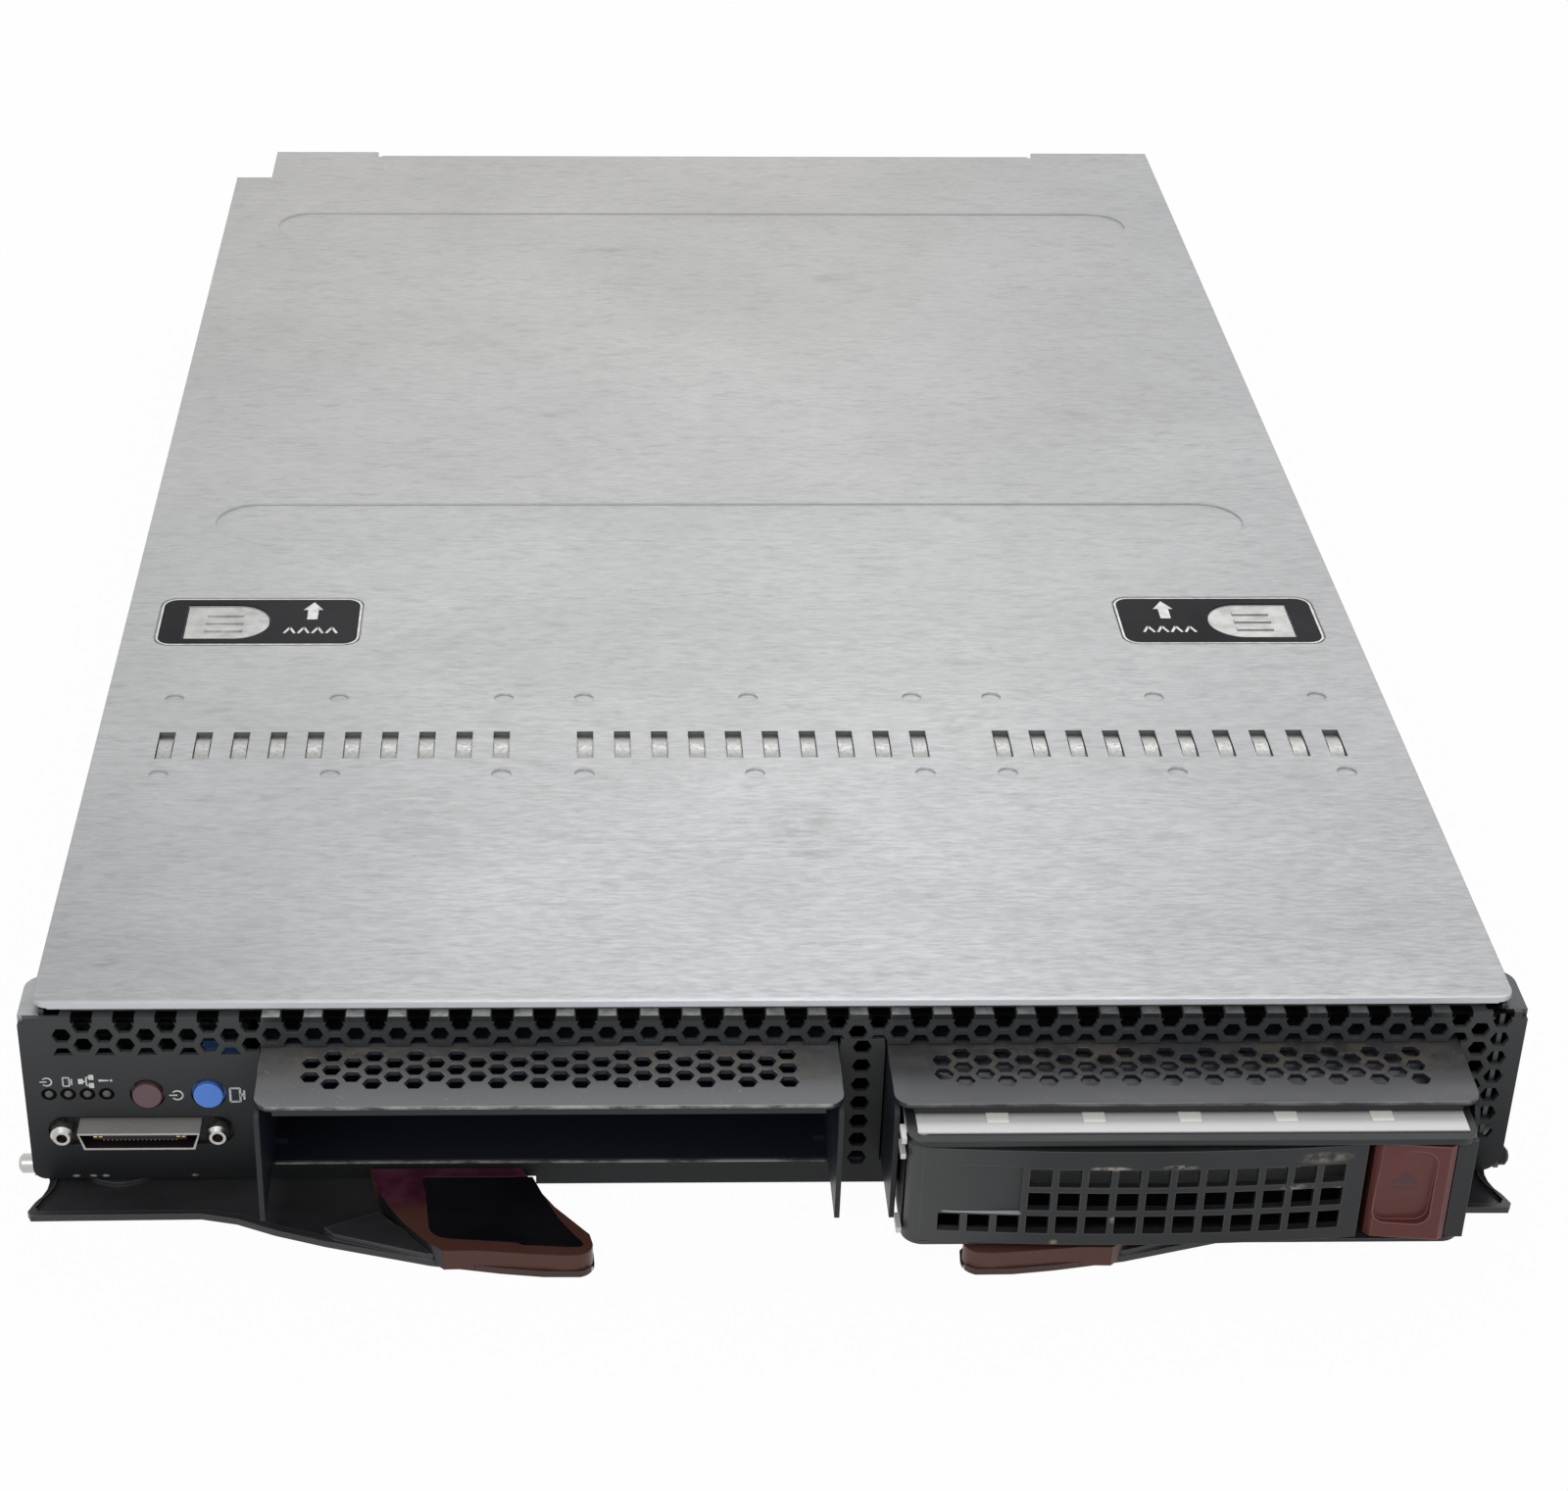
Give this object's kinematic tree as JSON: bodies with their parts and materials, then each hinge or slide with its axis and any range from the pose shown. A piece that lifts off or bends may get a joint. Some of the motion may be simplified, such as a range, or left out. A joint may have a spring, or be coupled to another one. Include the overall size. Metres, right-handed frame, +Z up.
{
  "type": "blade server",
  "caption": "Flat sheet-metal server blade with a sliding cover, two drive bays standing out of its vented front panel, a pull-out drive carrier and a pair of ejector levers.",
  "frame": {"origin": "middle of the underside of the tray: half way across its width and half way along its length, on the plane that it lies on", "axes": "+X to the right as seen from the front, -Y out of the front panel with its bays and levers, +Y to the rear connectors, +Z up through the cover"},
  "size_m": [0.2924, 0.4816, 0.043],
  "materials": {
    "galvanised_steel": "zinc-coated sheet with a fine grain",
    "black_paint": "fine satin black, worn at the edges",
    "spring_steel": "bright spring strip",
    "bright_steel": "plated, satin",
    "circuit_board": "green solder mask",
    "black_plastic": "moulded, fine grain",
    "label_black": "printed film",
    "maroon_plastic": "moulded, slightly glossy",
    "dark_red_plastic": "moulded, glossy",
    "blue_plastic": "moulded, glossy",
    "lamp_plastic": "clear light pipe, unlit",
    "aluminium": "machined and cast",
    "nickel": "nickel plate",
    "brass": "turned"
  },
  "bodies": {
    "chassis": {"base_tray": "galvanised_steel", "rear_panel": "galvanised_steel", "front_panel": "black_paint", "front_gasket": "spring_steel", "side_studs": "bright_steel", "bay_floor": "black_paint", "left_cage": "black_paint", "right_cage": "black_paint", "bay_rails": "black_paint", "cross_beam": "galvanised_steel", "drive_backplane": "circuit_board", "backplane_connectors": "black_plastic", "control_board": "circuit_board", "status_leds": "lamp_plastic", "port_housing": "black_plastic", "port_shell": "bright_steel", "port_jackscrews": "bright_steel", "motherboard": "circuit_board", "board_standoffs": "brass", "board_screws": "bright_steel", "cpu_sockets": "black_plastic", "processors": "nickel", "heatsinks": "aluminium", "heatsink_screws": "bright_steel", "memory_sockets": "black_plastic", "memory_modules": "circuit_board", "chipset_heatsink": "aluminium", "power_inductors": "black_plastic", "capacitors": "aluminium", "controller_chips": "black_plastic", "battery": "nickel", "air_shroud": "black_plastic", "power_connector": "black_plastic", "signal_connector": "black_plastic", "guide_sockets": "bright_steel", "lever_pivots": "bright_steel"},
    "cover": {"top_cover": "galvanised_steel", "gasket_strips": "spring_steel", "push_labels": "label_black", "left_tab_spring": "spring_steel", "right_tab_spring": "spring_steel"},
    "left_tab": {"left_push_tab": "bright_steel"},
    "right_tab": {"right_push_tab": "bright_steel"},
    "carrier": {"carrier_tray": "aluminium", "carrier_bezel": "black_plastic", "carrier_shield": "spring_steel", "hard_drive": "aluminium", "drive_board": "circuit_board", "drive_screws": "bright_steel", "door_pin": "bright_steel"},
    "door": {"carrier_door": "black_plastic"},
    "release": {"release_button": "maroon_plastic"},
    "left_lever": {"left_lever_plate": "black_paint", "left_lever_grip": "maroon_plastic", "left_lever_inlay": "black_plastic"},
    "right_lever": {"right_lever_plate": "black_paint", "right_lever_grip": "maroon_plastic", "right_lever_inlay": "black_plastic"},
    "power_key": {"power_button": "dark_red_plastic"},
    "id_key": {"id_button": "blue_plastic"}
  },
  "joints": [
    {"name": "cover_slide", "type": "slide", "parent": "chassis", "child": "cover", "axis": [0, 1, 0], "range_m": [0, 0.012]},
    {"name": "left_tab_press", "type": "slide", "parent": "cover", "child": "left_tab", "axis": [0, 0, -1], "range_m": [0, 0.002], "stiffness_N_per_m": 800, "springref_m": -0.002, "deforming": ["left_tab_spring"]},
    {"name": "right_tab_press", "type": "slide", "parent": "cover", "child": "right_tab", "axis": [0, 0, -1], "range_m": [0, 0.002], "stiffness_N_per_m": 800, "springref_m": -0.002, "deforming": ["right_tab_spring"]},
    {"name": "carrier_slide", "type": "slide", "parent": "chassis", "child": "carrier", "axis": [0, -1, 0], "range_m": [0, 0.165]},
    {"name": "door_hinge", "type": "hinge", "parent": "carrier", "child": "door", "pos_m": [0.02625, -0.25, 0.0182], "axis": [0, 0, -1], "range_deg": [0, 75]},
    {"name": "release_press", "type": "slide", "parent": "carrier", "child": "release", "axis": [0, 1, 0], "range_m": [0, 0.0015], "stiffness_N_per_m": 1500, "springref_m": -0.002},
    {"name": "left_lever_turn", "type": "hinge", "parent": "chassis", "child": "left_lever", "pos_m": [-0.1273, -0.219, 0.0009], "axis": [0, 0, -1], "range_deg": [0, 60]},
    {"name": "right_lever_turn", "type": "hinge", "parent": "chassis", "child": "right_lever", "pos_m": [0.1273, -0.219, 0.0009], "axis": [0, 0, 1], "range_deg": [0, 60]},
    {"name": "power_press", "type": "slide", "parent": "chassis", "child": "power_key", "axis": [0, 1, 0], "range_m": [0, 0.0008], "stiffness_N_per_m": 1000, "springref_m": -0.0015},
    {"name": "id_press", "type": "slide", "parent": "chassis", "child": "id_key", "axis": [0, 1, 0], "range_m": [0, 0.0008], "stiffness_N_per_m": 1000, "springref_m": -0.0015}
  ]
}
